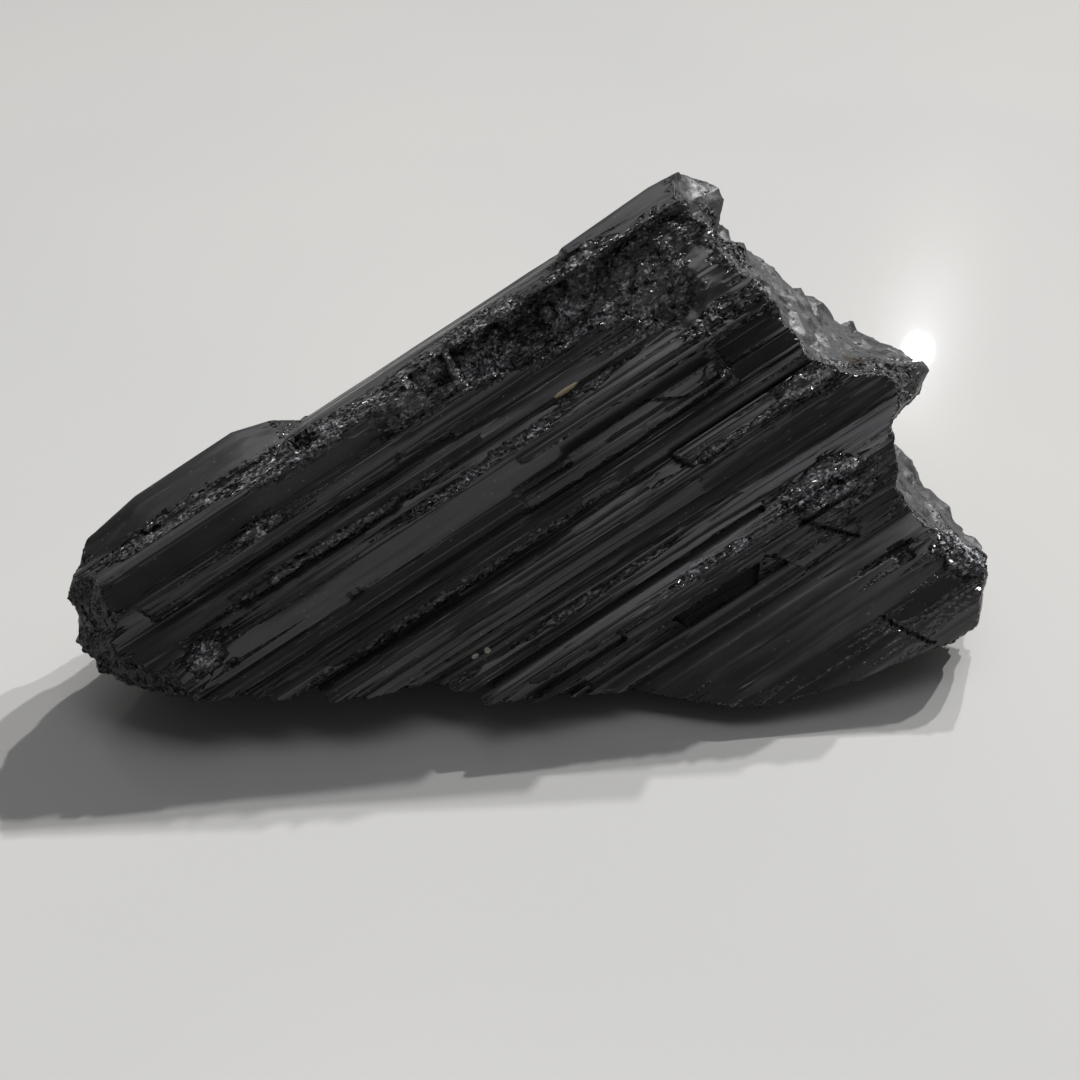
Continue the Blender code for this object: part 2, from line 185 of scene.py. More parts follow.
crystal = bpy.data.objects.new("tourmaline_fine", crystal_node.data.copy())
bpy.context.scene.collection.objects.link(crystal)
mesh = crystal.data
mesh.transform(from_scene)
put_back(mesh, leaned(coordinates(mesh), -1.0))
mesh.transform(Matrix.Scale(SQUASH, 4, (1.0, 0.0, 0.0)))
shell = bmesh.new()
shell.from_mesh(mesh)
bmesh.ops.remove_doubles(shell, verts=shell.verts, dist=SAME_PLACE)
shell.to_mesh(mesh)
shell.free()
mesh = applied(crystal, "REMESH", mode="VOXEL", voxel_size=VOXEL, adaptivity=0.0)
mesh.transform(Matrix.Scale(1.0 / SQUASH, 4, (1.0, 0.0, 0.0)))
smooth_points = coordinates(mesh)
smooth_normals = directions(mesh)
print("remeshed: %d points, %d faces" % (len(mesh.vertices), len(mesh.polygons)))

# %% [markdown]
# ## Chance that repeats
# Nature's relief looks random, but a script has to give the same stone every time. A hash turns
# whole numbers, such as the address of a cell, into a number from 0 to 1. Noise blends the hashes
# of a grid's corners. Scattered seeds, one to each cell, give the grains of a break and, taken
# across the columns only, the columns themselves.

# %% Hash and noise
HASH_WEIGHTS = (12.9898, 78.233, 37.719, 9.151)  # uneven, so that neighbours never agree
HASH_STRETCH = 43758.5453  # large, so that only the last digits of the sine are left


def scattered(*whole):
    """A number from 0 to 1 for each address, the same in every run."""
    mixed = sum(part * weight for part, weight in zip(whole, HASH_WEIGHTS))
    return np.modf(np.abs(np.sin(mixed) * HASH_STRETCH))[0]


def noise(points, cell, seed):
    """A smooth height from -1 to 1 over points of two or three dimensions."""
    place = points / cell
    home = np.floor(place)
    share = place - home
    share = share * share * (3.0 - 2.0 * share)
    total = 0.0
    for corner in itertools.product((0, 1), repeat=points.shape[1]):
        weight = 1.0
        for axis, far in enumerate(corner):
            weight = weight * (share[:, axis] if far else 1.0 - share[:, axis])
        total = total + weight * scattered(*(home + corner).T, seed)
    return total * 2.0 - 1.0


def rising(values, low, high):
    """0 below low, 1 above high, and a smooth rise between them."""
    share = np.clip((values - low) / (high - low), 0.0, 1.0)
    return share * share * (3.0 - 2.0 * share)


print("hash check: %.4f" % scattered(3.0, 4.0, 1.0))

# %% Scatter the seeds
FURTHER_THAN_ANY = 9.0  # no seed is so many cells away
SEED_MARGIN, SEED_ROOM = 0.1, 0.8  # where in its cell a seed may lie, as shares of the cell


def nearest_seeds(points, cell, seed):
    """The address of the seed nearest to each point, the way from it, and how far the point is
    inside the edge of the seed's own cell."""
    place = points / cell
    home = np.floor(place)
    nearest = np.full(len(points), FURTHER_THAN_ANY)
    second = nearest.copy()
    address, way = np.zeros_like(place), np.zeros_like(place)
    for step in itertools.product((-1, 0, 1), repeat=points.shape[1]):
        there = home + step
        jitter = [scattered(*there.T, seed + 0.7 * axis) for axis in range(points.shape[1])]
        offset = place - there - SEED_MARGIN - SEED_ROOM * np.stack(jitter, axis=1)
        away = np.sqrt((offset**2).sum(axis=1))
        closer = away < nearest
        second = np.where(closer, nearest, np.minimum(second, away))
        nearest = np.where(closer, away, nearest)
        address[closer] = there[closer]
        way[closer] = offset[closer]
    return address, way * cell, (second - nearest) * cell


test_way = nearest_seeds(np.array([[3.2, 4.7]]), 1.0, 1.0)[1]
print("seed check: the nearest is %.2f mm away" % np.linalg.norm(test_way))

# %% [markdown]
# ## Where the stone is rough
# A smooth face and a break differ in relief and in finish, so both steps below need to know
# where the breaks are. The ends and the underside show it by the way they face. On the front the
# breaks are patches and rows of grains, listed by where they lie: X and Y of the middle, the half
# lengths along and across, and how rough they are. Noise frays their edges.

# %% List the rough patches of the front
PATCHES = (
    (-24.0, 16.6, 12.0, 1.5, 1.0),
    (-40.0, 17.6, 14.0, 1.4, 0.6),
    (-22.0, 14.9, 9.0, 1.1, 1.0),
    (-33.8, 10.1, 4.0, 1.3, 0.9),
    (3.5, 16.2, 7.0, 2.4, 1.0),
    (-7.5, 15.4, 8.0, 2.6, 0.9),
    (1.0, 12.4, 7.5, 2.6, 1.0),
    (-9.0, 12.0, 7.0, 1.6, 0.9),
    (13.6, 13.2, 5.5, 3.2, 1.0),
    (17.6, 16.2, 4.6, 2.6, 1.0),
    (11.0, 9.3, 5.5, 1.4, 1.0),
    (24.0, 9.0, 5.5, 6.0, 0.75),
    (17.4, 9.8, 2.6, 2.4, 0.9),
    (27.0, 13.5, 7.0, 3.4, 0.6),
    (36.0, 9.0, 4.0, 4.5, 0.7),
    (30.0, 1.2, 6.0, 1.2, 0.7),
    (-28.0, 3.9, 13.0, 0.8, 0.8),
    (-12.0, 1.2, 12.0, 0.6, 0.9),
    (0.5, 1.7, 7.0, 0.8, 0.9),
    (12.0, 3.0, 5.0, 0.7, 0.6),
    (-48.0, 0.6, 2.6, 2.6, 0.9),
    (25.0, -4.3, 1.6, 1.0, 0.6),
    (22.0, -12.4, 9.0, 0.5, 0.5),
    (34.0, -12.0, 5.0, 2.0, 0.5),
    (28.0, -23.2, 6.5, 2.4, 1.0),
    (30.5, -26.4, 4.0, 1.8, 0.9),
    (10.0, -24.0, 4.0, 0.7, 0.8),
    (15.4, -24.3, 1.4, 0.8, 0.8),
    (39.0, -41.0, 3.6, 4.0, 0.8),
    (-16.0, -9.6, 20.0, 0.4, 0.4),
    (-4.0, -19.6, 14.0, 0.5, 0.4),
)
KNOB = (43.5, -17.0, 4.0, 5.0)  # the part of the right end that is grainy, in the same way
LEFT_END = -30.0  # the X beyond which an end face is the left one
print("%d rough patches" % len(PATCHES))

# %% Find the rough places
FRONT_DEPTH = -12.0  # the Z of the deepest places that still belong to the front
WIDE = 1.2  # the half length across from which a patch is wide, in mm
WIDE_FRAY = 0.28
THIN_FRAY = 0.6


def how_far(points, middle_x, middle_y, along, across):
    """How far each point is from a middle: 1 on the oval with these half lengths."""
    return np.hypot((points[:, 0] - middle_x) / along, (points[:, 1] - middle_y) / across)


def front_places(normals):
    """How much each point faces the front, from 0 to 1."""
    return rising(normals[:, 2], 0.1, 0.4)


def end_places(points, normals):
    """How much each point faces along the columns, as a broken end does, from 0 to 1."""
    return rising(np.abs(normals[:, 0]) + 0.05 * noise(points, 0.8, 33.0), 0.3, 0.5)


def patch_places(points, fray):
    """How rough the patches make each point, from 0 to 1. Thin rows fray more than wide patches."""
    patch = np.zeros(len(points))
    for middle_x, middle_y, along, across, amount in PATCHES:
        inside = 1.0 - how_far(points, middle_x, middle_y, along, across)
        frayed = inside + (WIDE_FRAY if across > WIDE else THIN_FRAY) * fray
        patch = np.maximum(patch, amount * rising(frayed, 0.0, 0.22))
    return patch


def rough_places(points, normals):
    """How rough the stone is at each point, from 0 to 1."""
    fray = noise(points * (0.5, 1.0, 1.0), 1.1, 31.0) + 0.6 * noise(points, 0.5, 32.0)
    front = front_places(normals) * rising(points[:, 2], FRONT_DEPTH + 3.0, FRONT_DEPTH + 5.0)
    knob = rising(1.0 - how_far(points, *KNOB), 0.0, 0.3)
    broken = np.maximum(0.2 + 0.7 * knob, 0.5 * (points[:, 0] < LEFT_END))
    broken = broken * end_places(points, normals)
    under = rising(normals @ -up + 0.1 * fray, 0.35, 0.6)
    return np.maximum(np.maximum(patch_places(points, fray) * front, broken), under)


rough = rough_places(smooth_points, smooth_normals)
print("rough share of the points: %.2f" % rough.mean())

# %% [markdown]
# ## Columns inside columns
# Each long facet is made of thinner columns, and those of thinner ones still. Some stand a little
# proud, some broke off short, and each top leans its own way, which is what makes the streaks of
# light and dark. Seeds scattered over the section, Y and Z, give every column an address. Its
# height, its lean and the places where it broke all come from the hash of that address.

# %% Raise the columns
COLUMN_SIZES = (  # width, height, length of an unbroken run and slope, all in mm but the slope
    (2.6, 0.15, 46.0, 0.07),
    (1.1, 0.07, 30.0, 0.07),
    (0.5, 0.03, 16.0, 0.05),
)
GROOVED_FROM = 0.55  # columns whose chance is above this have a groove round them


def broken_columns(points, cell, height, run, slope, seed):
    """The height of the column that each point is on."""
    wander = 0.12 * noise(points * (0.12, 0.5, 0.5), 1.0, seed + 5.0)
    section = points[:, 1:] + wander[:, None]
    address, way, inside = nearest_seeds(section, cell, seed)
    start = scattered(address[:, 0], address[:, 1], seed + 1.0) * 9.0
    ragged = 0.12 * noise(points * (0.3, 2.0, 2.0), 1.0, seed + 6.0)
    stretch = np.floor(points[:, 0] / run + start + ragged)
    own = scattered(address[:, 0], address[:, 1], seed + 2.0)
    part = scattered(address[:, 0], address[:, 1], stretch, seed + 3.0)
    lean = [scattered(address[:, 0], address[:, 1], stretch, seed + 4.0 + i) - 0.5 for i in (0, 1)]
    leaning = 2.0 * slope * (lean[0] * way[:, 0] + lean[1] * way[:, 1])
    grooved = part > GROOVED_FROM
    groove = grooved * (rising(inside, 0.0, 0.16 * cell) - 1.0)
    return height * (0.7 * own + 0.6 * part - 0.65 + 0.5 * groove) + leaning


streaks = np.zeros(len(smooth_points))
for number, (cell, height, run, slope) in enumerate(COLUMN_SIZES):
    streaks += broken_columns(smooth_points, cell, height, run, slope, 11.0 + 8.0 * number)
print("columns raised, from %.2f to %.2f mm" % (streaks.min(), streaks.max()))

# %% [markdown]
# ## Grains on the breaks
# A break across the columns ends in small flat facets that face every way, and a few of them
# always catch a lamp. Seeds in all three directions cut the surface into cells. Each cell gets a
# level of its own and a random slope, so it becomes one flat facet with a sharp edge round it.

# %% Cut the grains
GRAIN_SIZES = ((1.3, 0.12, 0.28), (0.6, 0.06, 0.4))  # width and height in mm, and slope
LEAST_ROUGH = 0.02  # where the stone is less rough than this, grains aren't worth the time


def grains(points, cell, height, slope, seed):
    """The height of the grain that each point is on."""
    stretched = points * (0.75, 1.0, 1.0)
    address, way, _ = nearest_seeds(stretched, cell, seed)
    level = scattered(*address.T, seed + 1.0) - 0.5
    lean = np.stack([scattered(*address.T, seed + 2.0 + 0.3 * i) - 0.5 for i in range(3)], axis=1)
    return height * level + 2.0 * slope * (lean * way).sum(axis=1)


touched = rough > LEAST_ROUGH
grain_height = np.zeros(len(smooth_points))
for number, (cell, height, slope) in enumerate(GRAIN_SIZES):
    grain_height[touched] += grains(smooth_points[touched], cell, height, slope, 51.0 + number)
print("grains cut, from %.2f to %.2f mm" % (grain_height.min(), grain_height.max()))

# %% [markdown]
# ## Steps, nicks and cracks
# Some marks are too particular to leave to chance: a ledge that ends square, a dark slot, a crack
# across a facet. Ledges and slots are strips along the columns, so a short table holds them: from
# X to X, from Y to Y, how far the strip stands out (or in) and how far it leans. Cracks run askew,
# so each goes from one point to another.

# %% List the strips and cracks
STRIPS = (
    (-24.9, -22.6, 15.9, 18.1, -1.6, 0.0),
    (17.2, 25.0, -5.4, -4.9, -0.5, 0.0),
    (8.5, 18.4, -4.6, -4.2, -0.45, 0.0),
    (-46.4, -45.0, -2.6, -1.6, -0.4, 0.0),
    (-29.0, -27.6, -3.6, -2.6, -0.4, 0.0),
    (23.0, 29.4, -23.6, -23.1, -0.8, 0.0),
    (25.0, 30.6, -24.7, -24.2, -0.6, 0.0),
    (28.4, 30.2, -24.4, -23.2, -0.5, 0.0),
    (27.0, 34.0, -35.9, -35.3, -0.6, 0.0),
    (31.0, 33.2, -37.6, -34.9, -0.5, 0.1),
    (-38.0, -12.0, 6.3, 6.7, 0.25, 0.0),
    (-30.0, 10.0, -12.2, -11.9, 0.25, 0.0),
    (-20.0, 22.0, -13.9, -13.7, 0.2, 0.0),
)
CRACK_DEPTH = 0.45
CRACKS = (  # from X and Y to X and Y, and the width
    (25.4, -41.2, 28.1, -46.4, 0.26),
    (28.1, -46.4, 29.4, -47.9, 0.2),
    (23.4, -25.5, 25.8, -28.4, 0.28),
    (25.8, -28.4, 28.9, -31.7, 0.24),
    (15.6, -2.8, 20.2, -5.3, 0.24),
    (36.2, -30.5, 38.4, -37.4, 0.24),
)
print("%d strips and %d cracks" % (len(STRIPS), len(CRACKS)))

# %% Cut the strips and cracks
SOFT_END = 0.15  # how soft a strip's ends and sides are, in mm
SOFT_SIDE = 0.08


def between(values, low, high, soft):
    """1 between low and high, 0 outside them, with soft edges."""
    return rising(values, low - soft, low + soft) * (1.0 - rising(values, high - soft, high + soft))


def strips(points):
    """The height that the strips and cracks add at each point of the front."""
    x, y, z = points.T
    x = x + 0.25 * noise(points * (0.5, 1.4, 1.0), 1.0, 71.0)
    y = y + 0.10 * noise(points * (0.3, 1.0, 1.0), 1.0, 72.0)
    total = np.zeros(len(points))
    for x0, x1, y0, y1, rise, lean in STRIPS:
        inside = between(x, x0, x1, SOFT_END) * between(y, y0, y1, SOFT_SIDE)
        total += inside * (rise + lean * (y - (y0 + y1) / 2.0))
    for x0, y0, x1, y1, width in CRACKS:
        length = math.hypot(x1 - x0, y1 - y0)
        along = ((x - x0) * (x1 - x0) + (y - y0) * (y1 - y0)) / length
        apart = np.abs((x - x0) * (y1 - y0) - (y - y0) * (x1 - x0)) / length
        apart = np.hypot(apart, np.maximum(np.maximum(-along, along - length), 0.0))
        total -= CRACK_DEPTH * (1.0 - rising(apart, 0.3 * width, width))
    return total * (z > FRONT_DEPTH)


strip_height = strips(smooth_points) * front_places(smooth_normals)
print("strips cut, from %.2f to %.2f mm" % (strip_height.min(), strip_height.max()))

# %% [markdown]
# ## All the relief together
# Each point moves along its normal: by the columns where the face is smooth, by the grains where
# it is rough. A few broad facets are calmer than the rest, so a table says where they lie. Where
# the piece stands on the table nothing may move, or it would sink in or float, so the relief fades
# out there.

# %% Find the calm facets
CALM = (  # from X to X and from Y to Y
    (-54.0, -7.0, -3.3, 0.3),
    (-10.0, 26.0, -4.4, 0.4),
    (-58.0, -22.0, 18.5, 25.0),
    (-14.0, 60.0, -55.0, -31.5),
    (16.0, 40.0, 15.5, 22.0),
    (-52.0, 26.0, 2.0, 5.6),
)
CALM_END = 2.0  # the lengths over which the calm fades, in mm
CALM_SIDE = 0.5


def calm_places(points):
    """How smooth the broad facets are at each point, from 0 to 1."""
    x, y, _ = points.T
    calm = np.zeros(len(points))
    for x0, x1, y0, y1 in CALM:
        along = rising(x, x0, x0 + CALM_END) * (1.0 - rising(x, x1 - CALM_END, x1))
        across = rising(y, y0, y0 + CALM_SIDE) * (1.0 - rising(y, y1 - CALM_SIDE, y1))
        calm = np.maximum(calm, along * across)
    return calm


calm = calm_places(smooth_points)
print("calm share of the points: %.2f" % calm.mean())

# %% Move the points
LOST_WHEN_ROUGH = 0.8  # how much of the columns' relief is lost on breaks
LOST_WHEN_CALM = 0.75  # and on calm facets
LOST_AT_ENDS = 0.85  # and on the ends
FIXED_BELOW, FREE_ABOVE = 0.1, 3.0  # above the table, in mm

end = end_places(smooth_points, smooth_normals)
relief = streaks * (1.0 - LOST_WHEN_ROUGH * rough) * (1.0 - LOST_WHEN_CALM * calm)
relief = relief * (1.0 - LOST_AT_ENDS * end) + (grain_height * rough + strip_height)
free = rising(above_table(leaned(smooth_points)), FIXED_BELOW, FREE_ABOVE)
put_back(mesh, smooth_points + smooth_normals * (relief * free)[:, None])
print("moved by %.2f to %.2f mm" % ((relief * free).min(), (relief * free).max()))

# %% [markdown]
# ## Fewer triangles where it is flat
# A million triangles would be far too heavy to share. Decimation joins them where the surface is
# flat and keeps them along every edge, so most of the detail stays.

# %% Thin the mesh
MOST_TRIANGLES = 194000

triangles = sum(len(polygon.vertices) - 2 for polygon in mesh.polygons)
share = min(1.0, MOST_TRIANGLES / triangles)
mesh = applied(crystal, "DECIMATE", ratio=share, use_collapse_triangulate=True)
fine_points = coordinates(mesh)
fine_normals = directions(mesh)
print("%d triangles became %d" % (triangles, len(mesh.polygons)))

# %% [markdown]
# ## Marks that the finish needs
# The finish has to know where the stone is rough or calm, which faces are broken ends, and where
# dust with painted sheen and bright crumbs with painted glints lie. The shader could work that out
# for each dot of the picture, but the rules are already here. So the amounts are kept on the mesh
# as attributes, which the shader reads by name. Each point's place in the crystal's own frame is
# kept too, for the streaks to run along.

# %% List the dust with painted sheen, and the crumbs with painted glints
DUST_AND_SHEEN_PLACES = (  # X, Y, half length, half width and how much dust and painted sheen
    (-40.0, 21.5, 20.0, 3.6, 0.3),
    (-5.0, 18.6, 26.0, 1.8, 0.9),
    (28.0, 18.0, 14.0, 2.6, 0.6),
    (20.5, 11.0, 6.0, 6.0, 0.7),
    (24.0, 2.4, 7.0, 2.6, 0.6),
    (32.0, 8.0, 4.5, 6.0, 0.7),
    (28.0, -24.5, 8.0, 4.0, 0.7),
    (39.5, -33.5, 3.0, 4.4, 0.9),
    (26.0, -45.8, 17.0, 1.6, 0.6),
    (-24.0, 16.0, 13.0, 1.8, 0.6),
    (22.0, -22.4, 15.0, 1.6, 0.8),
    (14.0, -23.6, 22.0, 1.7, 1.0),
    (-34.0, 4.6, 20.0, 1.4, 0.5),
    (-14.0, -1.6, 42.0, 2.3, 0.4),
    (15.5, -4.2, 9.0, 2.2, 1.3),
    (-24.4, 12.9, 12.0, 2.2, 0.6),
    (-6.0, 13.6, 10.0, 2.8, 0.6),
    (16.0, 11.5, 7.0, 4.5, 0.7),
    (-30.0, 18.4, 14.0, 1.6, 0.7),
    (36.0, 19.6, 9.0, 2.2, 0.5),
)
PAINTED_GLINT_CLUSTERS = (  # clusters of bright crumbs that are painted glints, in the same way
    (18.9, 16.1, 1.9, 1.5, 1.0),
    (13.2, 13.1, 2.0, 1.4, 0.8),
    (17.1, 9.7, 2.4, 1.1, 0.8),
    (7.4, 16.0, 2.0, 1.1, 0.8),
    (10.3, 9.4, 2.2, 0.9, 0.8),
    (3.2, 16.6, 1.8, 1.0, 0.7),
    (1.5, 12.4, 5.0, 2.2, 0.9),
    (-13.3, 0.9, 1.8, 0.6, 0.9),
    (-7.6, 1.4, 2.0, 0.6, 1.0),
    (0.9, 1.6, 2.0, 0.6, 0.9),
    (-34.1, 10.1, 1.8, 1.2, 1.0),
    (-22.0, 15.2, 6.5, 1.0, 0.8),
    (-48.0, 0.6, 2.2, 2.0, 0.9),
    (28.0, -24.0, 4.2, 2.6, 1.0),
    (9.5, -23.6, 2.2, 0.7, 1.0),
    (15.4, -24.3, 1.4, 0.8, 1.0),
    (39.5, -40.5, 2.4, 3.6, 0.9),
)
print("%d dusty places and %d clusters of crumbs" % (len(DUST_AND_SHEEN_PLACES), len(PAINTED_GLINT_CLUSTERS)))


# %% Keep the marks on the mesh
def keep_mark(name, values, kind="FLOAT", part="value"):
    """Keeps a number, or a vector, for each point of the mesh."""
    attribute = mesh.attributes.new(name, kind, "POINT")
    attribute.data.foreach_set(part, values.astype(np.float32).ravel())


keep_mark("rough", rough_places(fine_points, fine_normals))
keep_mark("calm", calm_places(fine_points))
keep_mark("end", end_places(fine_points, fine_normals))
keep_mark("own_place", fine_points, "FLOAT_VECTOR", "vector")
in_front = rising(fine_points[:, 2], FRONT_DEPTH, FRONT_DEPTH + 3.0)
# the dust mark is partly painted sheen, and the clusters of crumbs are painted glints
for name, table in (("dusty", DUST_AND_SHEEN_PLACES), ("sparkling", PAINTED_GLINT_CLUSTERS)):
    amounts = np.zeros(len(fine_points))
    for x, y, along, across, amount in table:
        apart = how_far(fine_points, x, y, along, across)
        amounts = np.maximum(amounts, amount * (1.0 - rising(apart, 0.6, 1.1)))
    keep_mark(name, amounts * in_front)
print("kept for each point:", [kept.name for kept in mesh.attributes if kept.domain == "POINT"])

# %% [markdown]
# ## Back in the scene
# Now the lean goes back on, and the mesh leaves the crystal's own frame. A point that the relief
# took below the table is lifted onto it. Grains are flat, so the shading is smooth only across
# edges that hardly turn.

# %% Put the lean back
SHARP_ANGLE = 24.0

placed = leaned(fine_points)
sunk = np.minimum(above_table(placed), 0.0)
put_back(mesh, placed - sunk[:, None] * up)
mesh.transform(to_scene)
mesh.shade_smooth()
mesh.set_sharp_from_angle(angle=math.radians(SHARP_ANGLE))
print("%d points lifted onto the table" % (sunk < 0.0).sum())

# %% [markdown]
# ## Shader sums written as sums
# A finish is a network of nodes, and a network is hard to read in code. One small class wraps the
# output of a node and lets Python's own signs stand for Math nodes, so that a sum on values looks
# like a sum. The signs work from both sides, so 1.0 - wire is a sum too. Every other node comes
# from its one method, node.


# %% The class for shader sums
class Wire:
    """The output of a node, which can be used in sums, or a tree that has none yet."""

    def __init__(self, tree, output=None):
        self.tree = tree
        self.output = output

    def node(self, kind, settings=None, sockets=None, output=0):
        """A new node in the same tree: its settings first, then its sockets' values or links."""
        made = self.tree.nodes.new(kind)
        for name, value in (settings or {}).items():
            setattr(made, name, value)
        for name, value in (sockets or {}).items():
            if isinstance(value, Wire):
                self.tree.links.new(value.output, made.inputs[name])
            else:
                made.inputs[name].default_value = value
        return Wire(self.tree, made.outputs[output])

    def also(self, name):
        """Another output of the same node."""
        return Wire(self.tree, self.output.node.outputs[name])

    def sum(self, operation, *values):
        """A Math node that works on the values."""
        return self.node("ShaderNodeMath", {"operation": operation}, dict(enumerate(values)))

    def __add__(self, other):
        return self.sum("ADD", self, other)

    def __sub__(self, other):
        return self.sum("SUBTRACT", self, other)

    def __rsub__(self, other):
        return self.sum("SUBTRACT", other, self)

    def __mul__(self, other):
        return self.sum("MULTIPLY", self, other)

    __radd__ = __add__
    __rmul__ = __mul__

    def __pow__(self, other):
        return self.sum("POWER", self, other)

    def rising(self, low, high):
        """0 below low, 1 above high, and a smooth rise between them."""
        settings = {"interpolation_type": "SMOOTHSTEP"}
        return self.node("ShaderNodeMapRange", settings, {0: self, 1: low, 2: high})

    def mixed(self, first, second):
        """The colour first where this is 0, and second where it is 1."""
        settings = {"data_type": "RGBA", "clamp_factor": True}
        return self.node("ShaderNodeMix", settings, {0: self, 6: first, 7: second}, 2)


def new_finish(name):
    """An empty material, its shader and the wire that its nodes start from."""
    material = bpy.data.materials.new(name)
    material.use_nodes = True
    tree = material.node_tree
    return material, tree.nodes["Principled BSDF"], Wire(tree)


def shine(shader, **wires):
    """Feeds wires to the shader's sockets, which are named with _ for a space."""
    for name, wire in wires.items():
        socket = shader.inputs[name.replace("_", " ")]
        shader.id_data.links.new(wire.output, socket)


print("besides its signs, a wire has:", [name for name in vars(Wire) if not name.startswith("_")])

# %% [markdown]
# ## The finish of black tourmaline
# Schorl is black right through, so its colour hardly varies: what the eye sees is gloss. A picture
# could carry the streaks and grains, but it would blur close up and show seams. Noise that is
# worked out at each point never does, and stretched along the columns it becomes striations.

# %% Start the finish
TOURMALINE_IOR = 1.63

finish, shader, stone = new_finish("black_tourmaline_finish")
shader.inputs["IOR"].default_value = TOURMALINE_IOR
own_place = stone.node("ShaderNodeAttribute", {"attribute_name": "own_place"}, {}, "Vector")


def stretched_noise(scale, detail, along):
    """Noise in the crystal's own frame, drawn out along the columns."""
    stretch = {0: own_place, 1: (along, 1.0, 1.0)}
    drawn = stone.node("ShaderNodeVectorMath", {"operation": "MULTIPLY"}, stretch)
    sockets = {"Vector": drawn, "Scale": scale, "Detail": detail}
    return stone.node("ShaderNodeTexNoise", {}, sockets)


def cells(per_mm):
    """Cells with a colour of their own, so many to a millimetre."""
    sockets = {"Vector": own_place, "Scale": per_mm}
    return stone.node("ShaderNodeTexVoronoi", {}, sockets, "Color")


def mark(name):
    """One of the marks that were kept on the mesh."""
    return stone.node("ShaderNodeAttribute", {"attribute_name": name}, {}, "Fac")


rough_mark, calm_mark, end_mark = mark("rough"), mark("calm"), mark("end")
cloudy = stretched_noise(0.35, 4.0, 0.6)
streaky = stretched_noise(1.6, 3.0, 0.04)
hairlines = stretched_noise(5.0, 2.0, 0.02)
print("the marks and three noises take %d nodes" % len(finish.node_tree.nodes))

# %% [markdown]
# ## Black, grey, dust with painted sheen, and painted shade on the ends
# Clean stone varies between black and a grey that is hardly paler. Dust stays on the breaks and in
# the places listed above, and its pale colour also stands for light those faces would mirror: it is
# painted sheen as well. An end is so well lit that its colour is painted darker than the rest, as
# painted shade.

# %% Mix the ground colour
BLACK = (0.046, 0.046, 0.0465, 1.0)
GREY = (0.060, 0.060, 0.0605, 1.0)
# a pale dust colour that is also painted sheen
DUST_AND_SHEEN = (0.150, 0.149, 0.149, 1.0)
# painted shade: the ends get a darker colour because the lamps light them strongly
END_PAINTED_SHADE = (0.014, 0.014, 0.014, 1.0)

clean = cloudy.rising(0.3, 0.75).mixed(BLACK, GREY)
# dust on the breaks and in the listed places; its pale colour is partly painted sheen
dusty = rough_mark * (0.4 + 0.4 * cloudy.rising(0.4, 0.7)) * (1.0 - end_mark)
dusty = dusty + mark("dusty") * (0.55 + 0.45 * cloudy)
# the ends take the darker colour, as painted shade
colour = end_mark.mixed(dusty.mixed(clean, DUST_AND_SHEEN), END_PAINTED_SHADE)
print("dust is %.0f times as pale as the stone" % (DUST_AND_SHEEN[0] / BLACK[0]))

# %% [markdown]
# ## Crumbs, painted glints and specks
# Pale crumbs lie on the break, and they are painted glints as well: they stand for its sparkle,
# most of all in the clusters listed above. A few pale specks lie on every face. Cells of a Voronoi
# texture each have a colour that chance gave them. One channel of it says which cells are crumbs,
# and a speck is the middle of a chosen cell.

# %% Scatter the crumbs, painted glints and specks
# a pale crumb colour, also used as painted glints
CRUMB_AND_GLINT = (0.66, 0.67, 0.72, 1.0)
CRUMBS_TO_MM = 3.2
SPECKS_TO_MM = 0.9
SPECK_STRENGTH = 0.2

chance = stone.node("ShaderNodeSeparateXYZ", {}, {0: cells(CRUMBS_TO_MM)}, "X")
patchy = stretched_noise(0.9, 2.0, 0.7).rising(0.42, 0.62)
crumbs_and_glints = chance.rising(0.5, 1.0) * patchy * rough_mark * (1.0 - end_mark)
crumbs_and_glints = crumbs_and_glints + chance.rising(0.2, 1.0) * end_mark * 0.07
# painted glints: the listed clusters are painted pale where the grains would catch the lamps
crumbs_and_glints = crumbs_and_glints + chance.rising(0.5, 0.9) * mark("sparkling") * 0.8
speck_cells = cells(SPECKS_TO_MM)
chosen = stone.node("ShaderNodeSeparateXYZ", {}, {0: speck_cells}, "X").rising(0.62, 0.7)
specks = chosen * (1.0 - speck_cells.also("Distance").rising(0.08, 0.17))
colour = (crumbs_and_glints + specks * SPECK_STRENGTH).mixed(colour, CRUMB_AND_GLINT)
print("a crumb is about %.1f mm wide" % (1.0 / CRUMBS_TO_MM))

# %% [markdown]
# ## Stains of other minerals
# A tan flake, two cream grains and a rusty stain sit on the front. Each is thinner than paint, so
# it is an oval of colour with a frayed edge. They are duller than the stone, so they are kept for
# the gloss below.

# %% Stain the front
TAN = (0.80, 0.68, 0.42, 1.0)
CREAM = (0.80, 0.76, 0.64, 1.0)
RUST = (0.030, 0.018, 0.010, 1.0)
SPOTS = (  # X, Y, half length, half width and tint
    (7.9, 3.9, 1.9, 0.34, TAN),
    (-20.0, -18.0, 0.55, 0.3, CREAM),
    (-18.3, -18.2, 0.4, 0.45, CREAM),
    (42.2, -12.6, 1.2, 1.4, RUST),
)

